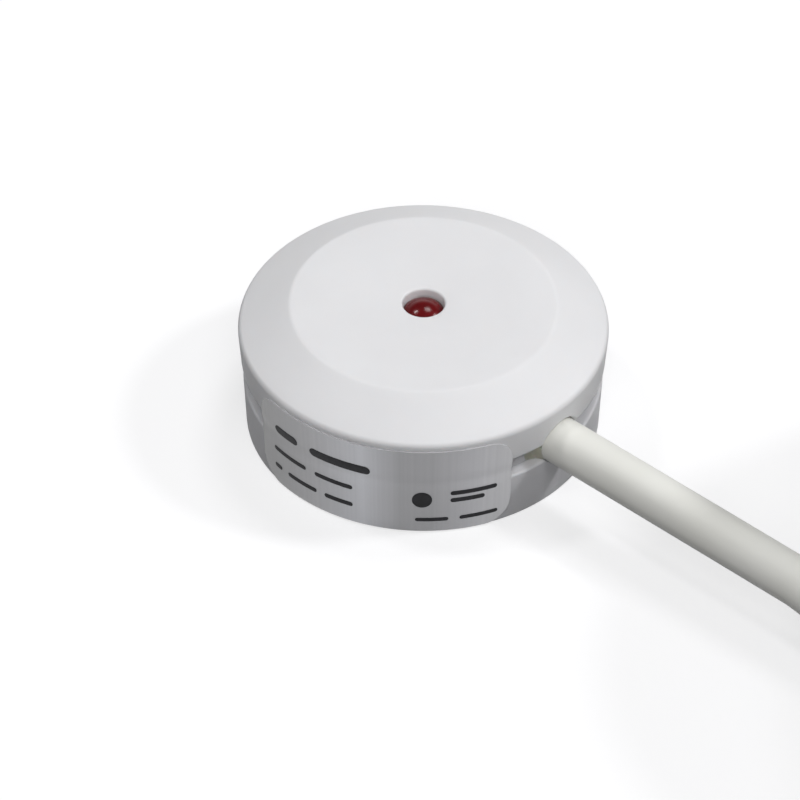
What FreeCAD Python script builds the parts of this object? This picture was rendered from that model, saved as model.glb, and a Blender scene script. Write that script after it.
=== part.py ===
"""Glass break sensor: a round housing that is bonded to a pane, with an indicator lamp and a fixed lead.

Lengths are in millimetres and angles in degrees. The origin is the centre of the underside, +Z
points from the pane to the lamp, and the lead leaves the housing along +X.
"""
import FreeCAD, Part
import math
import os

Vector = FreeCAD.Vector

# Housing, outside
RIM_R = 13.5            # where the lines of skirt and crown cone would meet
CROWN_R = 9.72          # flat disc on top
BASE_WALL_H = 4.05      # underside to ledge
GROOVE_H = 1.65         # ledge to the skirt's lower edge
SKIRT_H = 2.9           # skirt's lower edge to the rim corner
CROWN_RISE = 1.9        # rim corner to the top face
SKIRT_DRAFT = 4.3
BASE_DRAFT = 2.5
BASE_STEP = 0.12        # the base wall stands in from the skirt by this
RIM_ROUND = 0.5
CROWN_ROUND = 0.8
SKIRT_ROUND = 0.25      # lower edge of the skirt, and the arch in it round the lead
LIP_ROUND = 0.18        # edges of ledge, spigot and lamp hole
FOOT_CHAMFER = 0.2

# Housing, walls and the joint between its two mouldings
SKIRT_WALL = 0.88
CROWN_WALL = 1.1
ROOF_T = 1.1
FLOOR_T = 1.2
SPIGOT_WALL = 1.1
SPIGOT_H = 3.55         # above the ledge
SPIGOT_GAP = 0.1
SEAT_W = 0.9            # shoulder in the cover that sits on the spigot
SNAP_ANGLES = (90.0, 180.0, 270.0)
SNAP_SPAN = 16.0
SNAP_H = 0.6
SNAP_REACH = 0.35
SNAP_GAP = 0.1
SNAP_DROP = 1.45        # spigot's top to the foot of the snap

# Indicator lamp, 3 mm size
LAMP_R = 1.45
LAMP_H = 5.21
LAMP_DOME_R = 2.07      # its dome is flatter than half a ball
LAMP_FLANGE_R = 1.9
LAMP_FLANGE_T = 1.0
LAMP_FLAT_X = 1.6       # flat on the flange that marks the cathode
LAMP_SINK = 0.15        # dome below the top face
LAMP_GAP = 0.08
LAMP_PITCH = 2.54
LAMP_LEG = 0.45
COLLAR_WALL = 0.75
COLLAR_CLEAR = 0.45     # above the lamp's flange

# Circuit board and the posts that carry it
BOARD_GAP = 0.5         # board's edge to the wall of the well
BOARD_T = 1.0
POST_EDGE = 1.35        # centres of the posts in from the board's edge
POST_ANGLES = (60.0, 180.0, 300.0)
POST_R = 1.1
PIN_R = 0.5
PIN_GAP = 0.1
STAKE_R = 0.85
STAKE_H = 0.4
LEG_STICK = 0.7         # wires and legs below the board
SOLDER_R = 0.75

# Piezo sounder element used as the pick-up
GLUE_T = 0.1
BRASS_T = 0.2
CERAMIC_EDGE = 2.0      # brass that shows round the ceramic
CERAMIC_T = 0.22
NEST_GAP = 0.1
NEST_WALL = 0.5
NEST_H = 0.7
NEST_ROOM = 0.15        # nest to the posts
PIEZO_WIRE_R = 0.32
PIEZO_WIRE_X = 2.0      # where both wires meet the board
PIEZO_WIRE_KNEE = 0.45  # height of a wire's lower bend, as a share of its rise; the upper one mirrors it

# Side label
LABEL_START_ANGLE = -108.4
LABEL_END_ANGLE = -19.6
LABEL_BOTTOM = 0.35
LABEL_TOP = 8.1
LABEL_T = 0.08
LABEL_GAP = 0.03
LABEL_CORNER = 2.0

# Lead
LEAD_R = 1.75
LEAD_RISE = 1.1         # its axis above the ledge
LEAD_GAP = 0.08
SADDLE_IN = 0.3         # sheath's end to the saddle
SADDLE_T = 0.6
SADDLE_W = 5.2
SADDLE_SINK = 0.3       # saddle's top below the lead's axis
TIE_CLEAR = 0.1         # saddle to the tie
TIE_W = 1.05
TIE_T = 0.6
TIE_GAP = 0.03
TIE_HEAD = 2.1
TIE_WELL_GAP = 0.16     # corner of the tie's head to the wall of the well
RESIN_T = 1.5
RESIN_REACH = 0.35      # out over the ledge from the spigot
RESIN_GAP = 0.05
CORE_R = 0.42
CORE_SPREAD = 0.6       # core axis from the lead's axis, along Y and along Z
STRAND_R = 0.23
CORE_START_L = 0.75     # straight run of a core out of the sheath
CORE_RUN = 2.1          # sheath's end to the board's straight edge
CORE_INSET = 1.3        # holes for the cores in from the board's straight edge
CORE_PITCH = 2.2
CORE_LIFT = 1.4         # lower pair's crest above the board

# Share of a route's shorter run that the arc at its corner takes up
BEND_SHARE = 0.45

# Where the lead runs outside the housing: points of its axis, then the coil of what is left over
LEAD_ROUTE = (
    (22.6, 0.0, BASE_WALL_H + LEAD_RISE),
    (38.0, -0.1, 5.0),
    (49.4, -4.6, LEAD_R),
    (58.4, -4.6, LEAD_R),
)
COIL_COLUMNS = 4
COIL_LAYERS = 6
COIL_TURN_R = 19.4      # middle of the bundle
COIL_ROUND = 3.0
TAIL_ROUTE = ((0.0, 0.0, 0.0), (6.8, 0.0, -0.1), (13.6, -0.2, -0.55))
TAIL_CORE_L = 8.4
TAIL_STRIP_L = 4.0
TAIL_FAN = 1.3          # how far apart the cut cores stand

# Bodies of the board's parts: length along X, length along Y, height
CHIP_SIZE = (3.0, 3.0, 0.9)
RELAY_SIZE = (4.4, 2.6, 2.0)
TANTALUM_SIZE = (3.5, 2.8, 1.9)
DIODE_SIZE = (4.3, 2.6, 2.1)
RESISTOR_SIZE = (2.0, 1.25, 0.5)
CAPACITOR_SIZE = (2.0, 1.25, 0.85)
CHIP_PINS = 4
CHIP_PITCH = 0.65
RELAY_PINS = 2
RELAY_PITCH = 2.54
CHIP_X = -4.5
RELAY_X = -4.5
PIN_EDGE = 0.33         # outermost corner of a footed part in from the board's edge
TANTALUM_AT = (0.8, 5.7)
DIODE_AT = (0.9, -5.8)
RESISTOR_ROOM = 0.25    # post to the first resistor
RESISTOR_PITCH = 2.6
RESISTOR_AT = (-0.9, -3.1)
CAPACITOR_AT = (-0.9, 3.1)
FILTER_BACK = 1.7       # two more capacitors behind the core holes
FILTER_Y = 3.5
PIN_W = 0.3
PIN_T = 0.2
PIN_FOOT = 1.05         # how far the feet reach past the body
PIN_ROOT = 0.45         # where a foot leaves its body, as a share of the body's height
PART_LIFT = 0.1         # bodies with feet stand this far off the board


# Levels and radii that follow from the sizes above
ledge_z = BASE_WALL_H
skirt_z = ledge_z + GROOVE_H
rim_z = skirt_z + SKIRT_H
top_z = rim_z + CROWN_RISE
roof_z = top_z - ROOF_T
spigot_z = ledge_z + SPIGOT_H
lead_z = ledge_z + LEAD_RISE
skirt_r = RIM_R - SKIRT_H * math.tan(math.radians(SKIRT_DRAFT))
wall_r = skirt_r - BASE_STEP
foot_r = wall_r - BASE_WALL_H * math.tan(math.radians(BASE_DRAFT))
bore_r = skirt_r - SKIRT_WALL
spigot_r = bore_r - SPIGOT_GAP
well_r = spigot_r - SPIGOT_WALL
lamp_hole_r = LAMP_R + LAMP_GAP
board_top = top_z - LAMP_SINK - LAMP_H
board_z = board_top - BOARD_T
board_r = well_r - BOARD_GAP
post_circle_r = board_r - POST_EDGE
brass_z = FLOOR_T + GLUE_T
ceramic_z = brass_z + BRASS_T
ceramic_top = ceramic_z + CERAMIC_T
nest_r = post_circle_r - POST_R - NEST_ROOM - NEST_WALL
brass_r = nest_r - NEST_GAP
ceramic_r = brass_r - CERAMIC_EDGE
snap_z = spigot_z - SNAP_DROP
tie_side = LEAD_R + TIE_GAP + TIE_HEAD
tie_x = math.sqrt(well_r**2 - tie_side**2) - TIE_WELL_GAP - TIE_W
saddle_x = tie_x - TIE_CLEAR - SADDLE_T
sheath_end_x = saddle_x - SADDLE_IN
board_flat_x = sheath_end_x - CORE_RUN
core_hole_x = board_flat_x - CORE_INSET
lead_route = ((sheath_end_x, 0.0, lead_z),) + LEAD_ROUTE
coil_centre = Vector(lead_route[-1][0], lead_route[-1][1] + COIL_TURN_R + (COIL_COLUMNS - 1) * LEAD_R, 0)
coil_half = COIL_COLUMNS * LEAD_R
coil_h = COIL_LAYERS * 2 * LEAD_R


def revolved(profile, span=360.0, start=0.0):
    """A solid of revolution about Z from a closed outline of (radius, height) points."""
    points = [Vector(r, 0, z) for r, z in profile]
    face = Part.Face(Part.makePolygon(points + points[:1]))
    solid = face.revolve(Vector(), Vector(0, 0, 1), span)
    solid.rotate(Vector(), Vector(0, 0, 1), start)
    return solid


def cylinder(radius, height, at, axis=Vector(0, 0, 1)):
    return Part.makeCylinder(radius, height, Vector(*at), axis)


def block(size, at):
    """A box with its length and width centred on at, and its underside at at's height."""
    length, width, height = size
    return Part.makeBox(length, width, height, Vector(at[0] - length / 2, at[1] - width / 2, at[2]))


def rings(shape, radius, height):
    """The round edges of a shape that lie at one radius from Z and at one height."""
    found = []
    for edge in shape.Edges:
        curve = edge.Curve
        if isinstance(curve, Part.Circle) and abs(curve.Radius - radius) < 1e-4:
            if abs(curve.Center.z - height) < 1e-4:
                found.append(edge)
    return found


def arch_edges(cover):
    """Edges of the cover's outside that run round the lead."""
    found = []
    for edge in cover.Edges:
        middle = edge.valueAt((edge.FirstParameter + edge.LastParameter) / 2)
        outside = math.hypot(middle.x, middle.y) > (skirt_r + bore_r) / 2
        off_axis = math.hypot(middle.y, middle.z - lead_z)
        if middle.x > 0 and outside and abs(off_axis - LEAD_R - LEAD_GAP) < 1e-3:
            found.append(edge)
    return found


def polar(radius, angle, height=0.0):
    turn = math.radians(angle)
    return Vector(radius * math.cos(turn), radius * math.sin(turn), height)


def bend(before, corner, after):
    """The ends, middle and radius of the arc that rounds one corner of a route."""
    back = before - corner
    on = after - corner
    cut = BEND_SHARE * min(back.Length, on.Length)
    half = back.getAngle(on) / 2
    radius = cut * math.tan(half)
    back.normalize()
    on.normalize()
    inward = back + on
    inward.normalize()
    middle = corner + inward * (cut / math.cos(half) - radius)
    return corner + back * cut, middle, corner + on * cut, radius


def tube(route, radius):
    """A round tube along straight runs joined by tangent arcs, and the radii of those arcs."""
    points = [Vector(*p) for p in route]
    edges = []
    radii = []
    here = points[0]
    for before, corner, after in zip(points, points[1:], points[2:]):
        start, middle, end, turn_r = bend(before, corner, after)
        edges.append(Part.LineSegment(here, start).toShape())
        edges.append(Part.Arc(start, middle, end).toShape())
        radii.append(turn_r)
        here = end
    edges.append(Part.LineSegment(here, points[-1]).toShape())
    path = Part.Wire(edges)
    section = Part.Wire(Part.Circle(points[0], points[1] - points[0], radius).toShape())
    return path.makePipeShell([section], True, False), radii, path.Length


def lead_passage(upward):
    """What the lead needs cleared in the base (open upward) or in the cover (open downward)."""
    reach = LEAD_R + LEAD_GAP
    length = RIM_R - sheath_end_x
    bore = cylinder(reach, length, (sheath_end_x, 0, lead_z), Vector(1, 0, 0))
    low = lead_z if upward else 0
    mouth = Part.makeBox(length, 2 * reach, top_z - lead_z if upward else lead_z,
                         Vector(sheath_end_x, -reach, low))
    return bore.fuse(mouth)


def snap_wedge(angle, grow):
    """A snap on the cover's bore, or with grow the window that it enters in the spigot."""
    low = snap_z - grow
    high = snap_z + SNAP_H + grow
    tip = bore_r - SNAP_REACH - grow
    span = SNAP_SPAN + math.degrees(2 * grow / bore_r)
    root = bore_r + 0.5 * SKIRT_WALL
    outline = [(root, low), (bore_r - grow, low), (tip, high - SNAP_H / 3), (tip, high), (root, high)]
    return revolved(outline, span, angle - span / 2)


def cone_inside(radius):
    """Height of the inner face of the crown cone at a radius."""
    slope = CROWN_RISE / (RIM_R - CROWN_R)
    return rim_z + (RIM_R - radius) * slope - CROWN_WALL * math.hypot(1, slope)


def top_cover():
    seat_r = bore_r - SEAT_W
    slope = CROWN_RISE / (RIM_R - CROWN_R)
    roof_r = seat_r - (roof_z - cone_inside(seat_r)) / slope
    collar_r = lamp_hole_r + COLLAR_WALL
    collar_z = board_top + LAMP_FLANGE_T + COLLAR_CLEAR
    cover = revolved([
        (lamp_hole_r, top_z), (CROWN_R, top_z), (RIM_R, rim_z), (skirt_r, skirt_z), (bore_r, skirt_z),
        (bore_r, spigot_z), (seat_r, spigot_z), (seat_r, cone_inside(seat_r)), (roof_r, roof_z),
        (collar_r, roof_z), (collar_r, collar_z), (lamp_hole_r, collar_z),
    ])
    cover = cover.makeFillet(RIM_ROUND, rings(cover, RIM_R, rim_z))
    cover = cover.makeFillet(CROWN_ROUND, rings(cover, CROWN_R, top_z))
    cover = cover.makeFillet(LIP_ROUND, rings(cover, lamp_hole_r, top_z))
    cover = cover.cut(lead_passage(upward=False)).removeSplitter()
    cover = cover.makeFillet(SKIRT_ROUND, rings(cover, skirt_r, skirt_z) + arch_edges(cover))
    return cover.fuse([snap_wedge(angle, 0.0) for angle in SNAP_ANGLES]).removeSplitter()


def base_tray():
    base = revolved([
        (0, 0), (foot_r, 0), (wall_r, ledge_z), (spigot_r, ledge_z), (spigot_r, spigot_z),
        (well_r, spigot_z), (well_r, FLOOR_T), (0, FLOOR_T),
    ])
    base = base.makeChamfer(FOOT_CHAMFER, rings(base, foot_r, 0))
    base = base.makeFillet(LIP_ROUND, rings(base, wall_r, ledge_z) + rings(base, spigot_r, spigot_z))
    nest = cylinder(nest_r + NEST_WALL, NEST_H, (0, 0, FLOOR_T))
    nest = nest.cut(cylinder(nest_r, NEST_H, (0, 0, FLOOR_T)))
    saddle_h = lead_z - SADDLE_SINK - FLOOR_T
    saddle = block((SADDLE_T, SADDLE_W, saddle_h), (saddle_x + SADDLE_T / 2, 0, FLOOR_T))
    added = [nest, saddle]
    for angle in POST_ANGLES:
        added.append(cylinder(POST_R, board_z - FLOOR_T, polar(post_circle_r, angle, FLOOR_T)))
        added.append(cylinder(PIN_R, BOARD_T + STAKE_H, polar(post_circle_r, angle, board_z)))
        stake = Part.makeCone(STAKE_R, PIN_R, STAKE_H, polar(post_circle_r, angle, board_top))
        added.append(stake)
    base = base.fuse(added)
    base = base.cut([snap_wedge(angle, SNAP_GAP) for angle in SNAP_ANGLES])
    return base.cut(lead_passage(upward=True)).removeSplitter()


def wall_radius(height):
    """Radius of the housing's side at a height, straight across the groove."""
    levels = ((0.0, foot_r), (ledge_z, wall_r), (skirt_z, skirt_r), (rim_z, RIM_R))
    for (low, r_low), (high, r_high) in zip(levels, levels[1:]):
        if height <= high:
            return r_low + (r_high - r_low) * (height - low) / (high - low)
    return RIM_R


def side_label():
    """Foil wrapped round the side, over the groove, with rounded corners."""
    heights = [LABEL_BOTTOM, ledge_z, skirt_z, LABEL_TOP]
    inner = [(wall_radius(z) + LABEL_GAP, z) for z in heights]
    outer = [(r + LABEL_T, z) for r, z in reversed(inner)]
    foil = revolved(inner + outer, LABEL_END_ANGLE - LABEL_START_ANGLE, LABEL_START_ANGLE)
    for height, rise in ((LABEL_BOTTOM, 1), (LABEL_TOP, -1)):
        for angle, way in ((LABEL_START_ANGLE, 1), (LABEL_END_ANGLE, -1)):
            inset = math.degrees(LABEL_CORNER / wall_radius(height))
            corner = angle + way * inset
            radial = polar(1, corner)
            across = polar(1, corner + 90) * -way
            middle = radial * (RIM_R - LABEL_CORNER)
            middle.z = height + rise * LABEL_CORNER
            far = Vector(0, 0, -rise)
            edge = 2 * LABEL_CORNER
            square = Part.Face(Part.makePolygon([
                middle, middle + across * edge, middle + (across + far) * edge, middle + far * edge, middle,
            ])).extrude(radial * 2 * LABEL_CORNER)
            disc = cylinder(LABEL_CORNER, 2 * LABEL_CORNER, middle, radial)
            foil = foil.cut(square.cut(disc))
    return foil


def circuit_board():
    board = cylinder(board_r, BOARD_T, (0, 0, board_z))
    beyond = 2 * board_r
    holes = [Part.makeBox(beyond, beyond, 3 * BOARD_T, Vector(board_flat_x, -board_r, board_z - BOARD_T))]
    for angle in POST_ANGLES:
        holes.append(cylinder(PIN_R + PIN_GAP, BOARD_T, polar(post_circle_r, angle, board_z)))
    for x, y in lamp_legs():
        holes.append(cylinder(LAMP_LEG / 2 + 2 * PIN_GAP, BOARD_T, (x, y, board_z)))
    for y in core_rows():
        holes.append(cylinder(STRAND_R + PIN_GAP, BOARD_T, (core_hole_x, y, board_z)))
    return board.cut(holes)


def lamp_legs():
    return ((0, -LAMP_PITCH / 2), (0, LAMP_PITCH / 2))


def core_rows():
    """Y of the four holes for the lead's cores."""
    return [(i - 1.5) * CORE_PITCH for i in range(4)]


def led_lens():
    body = cylinder(LAMP_FLANGE_R, LAMP_FLANGE_T, (0, 0, board_top))
    stem = cylinder(LAMP_R, LAMP_H, (0, 0, board_top))
    dome = Part.makeSphere(LAMP_DOME_R, Vector(0, 0, top_z - LAMP_SINK - LAMP_DOME_R))
    sides = cylinder(LAMP_R, LAMP_H - LAMP_DOME_R, (0, 0, board_top))
    flat = Part.makeBox(LAMP_FLANGE_R, 2 * LAMP_FLANGE_R, LAMP_FLANGE_T,
                        Vector(LAMP_FLAT_X, -LAMP_FLANGE_R, board_top))
    return body.cut(flat).fuse([sides, stem.common(dome)]).removeSplitter()


def led_legs():
    legs = []
    for x, y in lamp_legs():
        legs.append(block((LAMP_LEG, LAMP_LEG, BOARD_T + LEG_STICK), (x, y, board_z - LEG_STICK)))
    return Part.makeCompound(legs)


def solder_joints():
    """Cones under the board, each with its hole for the leg or strand that it holds."""
    joints = []
    for x, y in lamp_legs():
        cone = Part.makeCone(LAMP_LEG, SOLDER_R, LEG_STICK, Vector(x, y, board_z - LEG_STICK))
        leg = block((LAMP_LEG, LAMP_LEG, LEG_STICK), (x, y, board_z - LEG_STICK))
        joints.append(cone.cut(leg))
    for y in core_rows():
        cone = Part.makeCone(2 * STRAND_R, SOLDER_R, LEG_STICK, Vector(core_hole_x, y, board_z - LEG_STICK))
        joints.append(cone.cut(cylinder(STRAND_R, LEG_STICK, (core_hole_x, y, board_z - LEG_STICK))))
    return Part.makeCompound(joints)


def place_at_edge(size, x, side):
    """Where a footed part stands when its outermost foot is PIN_EDGE in from the board's round edge."""
    length, width, _ = size
    reach = abs(x) + length / 2
    return x, side * (math.sqrt((board_r - PIN_EDGE)**2 - reach**2) - PIN_FOOT - width / 2)


def chip_place():
    return place_at_edge(CHIP_SIZE, CHIP_X, -1)


def relay_place():
    return place_at_edge(RELAY_SIZE, RELAY_X, 1)


def resistor_places():
    """Two in a row from the post that stands opposite the lead, and one by the lamp."""
    first = POST_R + RESISTOR_ROOM + RESISTOR_SIZE[0] / 2 - post_circle_r
    return (first, 0.0), (first + RESISTOR_PITCH, 0.0), RESISTOR_AT


def capacitor_places():
    x = core_hole_x - FILTER_BACK
    return CAPACITOR_AT, (x, FILTER_Y), (x, -FILTER_Y)


def part_on_board(size, at, lift=0.0):
    return block(size, (at[0], at[1], board_top + lift))


def feet(size, at, pins, pitch):
    """Bent metal feet on both long sides of a part, standing on the board."""
    made = []
    length, width, height = size
    rise = PART_LIFT + PIN_ROOT * height
    for side in (-1, 1):
        face = at[1] + side * width / 2
        for i in range(pins):
            x = at[0] + (i - (pins - 1) / 2) * pitch - PIN_W / 2
            outline = [(0, rise), (PIN_FOOT / 2, rise), (PIN_FOOT / 2, PIN_T), (PIN_FOOT, PIN_T),
                       (PIN_FOOT, 0), (PIN_FOOT / 2 - PIN_T, 0), (PIN_FOOT / 2 - PIN_T, rise - PIN_T),
                       (0, rise - PIN_T)]
            points = [Vector(x, face + side * out, board_top + up) for out, up in outline]
            made.append(Part.Face(Part.makePolygon(points + points[:1])).extrude(Vector(PIN_W, 0, 0)))
    return Part.makeCompound(made)


def chips(size, places):
    return Part.makeCompound([part_on_board(size, at) for at in places])


def piezo_glue():
    return cylinder(brass_r, GLUE_T, (0, 0, FLOOR_T))


def piezo_brass():
    return cylinder(brass_r, BRASS_T, (0, 0, brass_z))


def piezo_ceramic():
    return cylinder(ceramic_r, CERAMIC_T, (0, 0, ceramic_z))


def piezo_wire(side):
    """A thin wire up to the board's underside: side -1 from the brass, 1 from the ceramic."""
    if side < 0:
        start = Vector(0, -(brass_r + ceramic_r) / 2, ceramic_z)
    else:
        start = Vector(0, ceramic_r / 2, ceramic_top)
    rise = board_z - start.z
    knee = start + Vector(0, 0, PIEZO_WIRE_KNEE * rise)
    shoulder = Vector(PIEZO_WIRE_X, start.y, start.z + (1 - PIEZO_WIRE_KNEE) * rise)
    end = Vector(PIEZO_WIRE_X, start.y, board_z)
    wire, _, _ = tube([start, knee, shoulder, end], PIEZO_WIRE_R)
    return wire


def sealing_resin():
    """Clear yellowish bead round the lead, on the ledge and under the skirt."""
    bead = cylinder(LEAD_R + RESIN_T, RESIN_REACH, (spigot_r, 0, lead_z), Vector(1, 0, 0))
    above = Part.makeBox(2 * RIM_R, 2 * RIM_R, top_z, Vector(0, -RIM_R, skirt_z - RESIN_GAP))
    lead = cylinder(LEAD_R, RIM_R, (sheath_end_x, 0, lead_z), Vector(1, 0, 0))
    return bead.cut([above, lead, base_tray()])


def cable_tie():
    """Nylon tie round the sheath: its strap and its square head."""
    axis = Vector(1, 0, 0)
    inner = LEAD_R + TIE_GAP
    strap = cylinder(inner + TIE_T, TIE_W, (tie_x, 0, lead_z), axis)
    head_at = (tie_x + TIE_W / 2, -inner - TIE_HEAD / 2, lead_z - TIE_HEAD / 2)
    head = block((TIE_W, TIE_HEAD, TIE_HEAD), head_at)
    return strap.fuse(head).cut(cylinder(inner, TIE_W, (tie_x, 0, lead_z), axis)).removeSplitter()


def core_offsets():
    """Where the four cores lie in the sheath, as (y, z) from its axis, in the order of the holes."""
    near = CORE_SPREAD
    return ((-near, -near), (-near, near), (near, near), (near, -near))


def core(index):
    """One insulated core from the sheath's end over the board's edge to its hole."""
    y, z = core_offsets()[index]
    row = core_rows()[index]
    high = board_top + CORE_LIFT + CORE_SPREAD + z
    route = [
        (sheath_end_x, y, lead_z + z),
        (sheath_end_x - CORE_START_L, y, lead_z + z),
        (board_flat_x, (y + row) / 2, high),
        (core_hole_x, row, high + STRAND_R),
        (core_hole_x, row, board_top + STRAND_R),
    ]
    insulated, _, _ = tube(route, CORE_R)
    return insulated


def core_strands():
    strands = []
    length = BOARD_T + LEG_STICK + STRAND_R
    for row in core_rows():
        strands.append(cylinder(STRAND_R, length, (core_hole_x, row, board_z - LEG_STICK)))
    return Part.makeCompound(strands)


def cable_lead():
    """The lead from the sheath's end inside the housing to where its coil begins."""
    lead, radii, length = tube(lead_route, LEAD_R)
    print("lead: bend radii", [round(r, 1) for r in radii], "mm, length", round(length, 1), "mm")
    print("lead: volume over section times length", round(lead.Volume / (math.pi * LEAD_R**2 * length), 4))
    return lead


def tail_route():
    start = Vector(coil_centre.x, lead_route[-1][1], coil_h - LEAD_R)
    return [start + Vector(*step) for step in TAIL_ROUTE]


def cable_tail():
    """The lead's last stretch, from the coil's top turn to where the sheath is cut."""
    tail, radii, length = tube(tail_route(), LEAD_R)
    print("tail: bend radii", [round(r, 1) for r in radii], "mm, length", round(length, 1), "mm")
    return tail


def cable_coil():
    """The outer shape of the coiled lead, with the seats of the two ends that leave it."""
    inner = COIL_TURN_R - coil_half
    outer = COIL_TURN_R + coil_half
    ring = revolved([(inner, 0), (outer, 0), (outer, coil_h), (inner, coil_h)])
    ring = ring.makeFillet(COIL_ROUND, rings(ring, outer, coil_h))
    ring.translate(coil_centre)
    turns = COIL_COLUMNS * COIL_LAYERS
    print("coil:", turns, "turns,", round(turns * 2 * math.pi * COIL_TURN_R), "mm of lead")
    return ring.cut([cable_lead(), cable_tail()])


def tail_core_route(index):
    """Root, knee and tip of one core past the cut sheath, bent away from its neighbours."""
    start, end = tail_route()[-2:]
    along = end - start
    along.normalize()
    side = along.cross(Vector(0, 0, 1))
    side.normalize()
    y, z = core_offsets()[index]
    offset = side.cross(along) * z - side * y
    root = end + offset
    knee = root + along * (BEND_SHARE * TAIL_CORE_L)
    tip = root + along * TAIL_CORE_L + offset * (TAIL_FAN / CORE_SPREAD)
    return root, knee, tip


def tail_core(index):
    insulated, _, _ = tube(tail_core_route(index), CORE_R)
    return insulated


def tail_strands():
    """Bare tinned ends of the four cores."""
    ends = []
    for index in range(4):
        _, knee, tip = tail_core_route(index)
        ends.append(cylinder(STRAND_R, TAIL_STRIP_L, tip, tip - knee))
    return Part.makeCompound(ends)


NODES = {
    "top_cover": top_cover,
    "base_tray": base_tray,
    "side_label": side_label,
    "circuit_board": circuit_board,
    "led_lens": led_lens,
    "led_legs": led_legs,
    "solder_joints": solder_joints,
    "signal_chip": lambda: part_on_board(CHIP_SIZE, chip_place(), PART_LIFT),
    "signal_chip_feet": lambda: feet(CHIP_SIZE, chip_place(), CHIP_PINS, CHIP_PITCH),
    "relay_chip": lambda: part_on_board(RELAY_SIZE, relay_place(), PART_LIFT),
    "relay_chip_feet": lambda: feet(RELAY_SIZE, relay_place(), RELAY_PINS, RELAY_PITCH),
    "tantalum_capacitor": lambda: part_on_board(TANTALUM_SIZE, TANTALUM_AT),
    "surge_diode": lambda: part_on_board(DIODE_SIZE, DIODE_AT),
    "chip_resistors": lambda: chips(RESISTOR_SIZE, resistor_places()),
    "chip_capacitors": lambda: chips(CAPACITOR_SIZE, capacitor_places()),
    "piezo_glue": piezo_glue,
    "piezo_brass": piezo_brass,
    "piezo_ceramic": piezo_ceramic,
    "piezo_wire_black": lambda: piezo_wire(-1),
    "piezo_wire_red": lambda: piezo_wire(1),
    "sealing_resin": sealing_resin,
    "cable_tie": cable_tie,
    "core_white": lambda: core(0),
    "core_brown": lambda: core(1),
    "core_green": lambda: core(2),
    "core_yellow": lambda: core(3),
    "core_strands": core_strands,
    "cable_lead": cable_lead,
    "cable_coil": cable_coil,
    "cable_tail": cable_tail,
    "tail_core_white": lambda: tail_core(0),
    "tail_core_brown": lambda: tail_core(1),
    "tail_core_green": lambda: tail_core(2),
    "tail_core_yellow": lambda: tail_core(3),
    "tail_strands": tail_strands,
}


def main():
    os.makedirs("parts", exist_ok=True)
    for name, make in NODES.items():
        make().exportStep(f"parts/{name}.step")


main()
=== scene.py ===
"""Glass break sensor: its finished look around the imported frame.

A low round housing of two white mouldings holds an indicator lamp in its crown and carries a satin
foil label on its side. An off-white four-core lead leaves the joint between the mouldings, runs out
to the side and is coiled up with its end bare. Sizes are in millimetres and angles in degrees; a
piece is scaled to metres when it is done.
"""
import logging
import math
from contextlib import contextmanager
from dataclasses import dataclass
from enum import Enum
from functools import cache
from typing import Any, Iterator, NamedTuple, Sequence

import bpy
from bpy.types import Material, Node, NodeSocket, NodeTree, Object
from mathutils import Matrix, Vector


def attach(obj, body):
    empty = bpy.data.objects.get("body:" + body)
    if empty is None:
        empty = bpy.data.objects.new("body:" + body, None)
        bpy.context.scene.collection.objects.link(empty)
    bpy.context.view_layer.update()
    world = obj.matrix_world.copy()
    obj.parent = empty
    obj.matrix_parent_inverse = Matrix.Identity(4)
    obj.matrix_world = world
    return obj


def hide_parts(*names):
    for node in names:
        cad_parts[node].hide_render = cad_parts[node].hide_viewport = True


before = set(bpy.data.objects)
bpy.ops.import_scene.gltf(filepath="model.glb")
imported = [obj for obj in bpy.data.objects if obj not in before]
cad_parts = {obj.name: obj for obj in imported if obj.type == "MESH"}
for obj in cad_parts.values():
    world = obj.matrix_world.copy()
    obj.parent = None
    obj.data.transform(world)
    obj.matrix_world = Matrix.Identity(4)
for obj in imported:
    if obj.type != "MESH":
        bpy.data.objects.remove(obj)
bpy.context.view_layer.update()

LOG = logging.getLogger("sensor")
MM = 0.001
# Points of a spun outline that lie nearer than this are one
MERGE = 0.0005
# Edges that bend more than this stay sharp
CREASE = 32.0
# Faces that go round each kind of round form
ROUND_STEPS = 8
PASSAGE_STEPS = 48
SNAP_STEPS = 12
POST_STEPS = 32
CORNER_STEPS = 10
DOME_STEPS = 16
LAMP_STEPS = 96
RESIN_STEPS = 64


class Corner(NamedTuple):
    """A corner of an outline: its place across and up, and the radius that rounds it."""

    across: float
    up: float
    radius: float = 0.0


class Cut(Enum):
    """What a tool body does to the piece that it meets."""

    AWAY = "DIFFERENCE"
    ADD = "UNION"
    KEEP = "INTERSECT"


def linear(colour: str) -> tuple[float, float, float, float]:
    """Turns an sRGB hex colour into the linear colour that a shader takes.

    Args:
        colour: Six hex digits, such as "E4E4E6".

    Returns:
        Linear red, green and blue, and an alpha of 1.
    """
    channels = []
    for start in (0, 2, 4):
        value = int(colour[start:start + 2], 16) / 255
        channels.append(value / 12.92 if value <= 0.04045 else ((value + 0.055) / 1.055) ** 2.4)
    return channels[0], channels[1], channels[2], 1.0


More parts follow.
